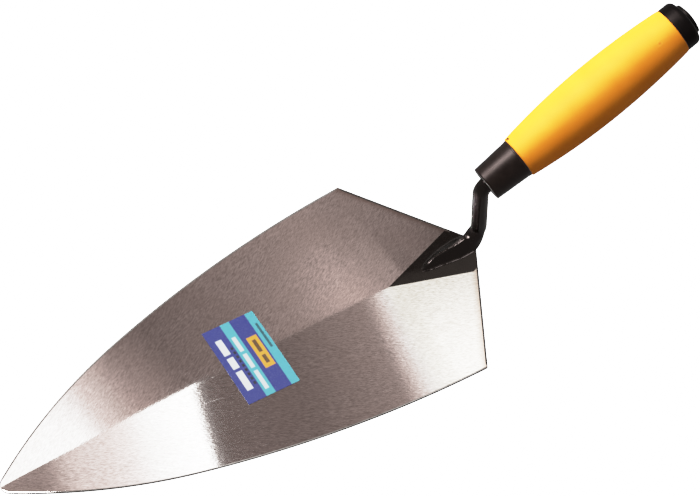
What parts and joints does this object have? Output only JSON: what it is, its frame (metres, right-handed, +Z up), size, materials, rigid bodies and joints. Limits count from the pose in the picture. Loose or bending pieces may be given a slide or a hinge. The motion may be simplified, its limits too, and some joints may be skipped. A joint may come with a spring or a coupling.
{
  "type": "brick trowel",
  "caption": "Wide pointed brick trowel: ground steel blade with a centre ridge, black cranked shank, black ferrule and a tilted barrel-shaped yellow grip with a black butt cap.",
  "frame": {"origin": "heel point of the blade, where its two heel edges meet, on the flat underside of the blade", "axes": "+X runs from the blade's tip towards the handle, +Y is to the left when looking along +X, +Z points up from the blade's flat underside; Y = 0 is the plane of symmetry"},
  "size_m": [0.4115, 0.14, 0.106],
  "materials": {
    "blade_steel": "ground and finely brushed, with a black lacquered triangle at the heel",
    "black_lacquer": "gloss dipped lacquer",
    "ferrule_black": "satin moulded plastic",
    "core_black": "plain moulded plastic",
    "grip_yellow": "soft matt moulded elastomer",
    "cap_black": "satin moulded plastic",
    "label_blue": "printed film in blue, turquoise and orange, with no lettering"
  },
  "bodies": {
    "root": {"blade": "blade_steel", "shank": "black_lacquer", "foot_weld": "black_lacquer", "ferrule": "ferrule_black", "handle_core": "core_black", "grip_sleeve": "grip_yellow", "end_cap": "cap_black", "end_plug": "cap_black", "label": "label_blue"}
  },
  "joints": []
}
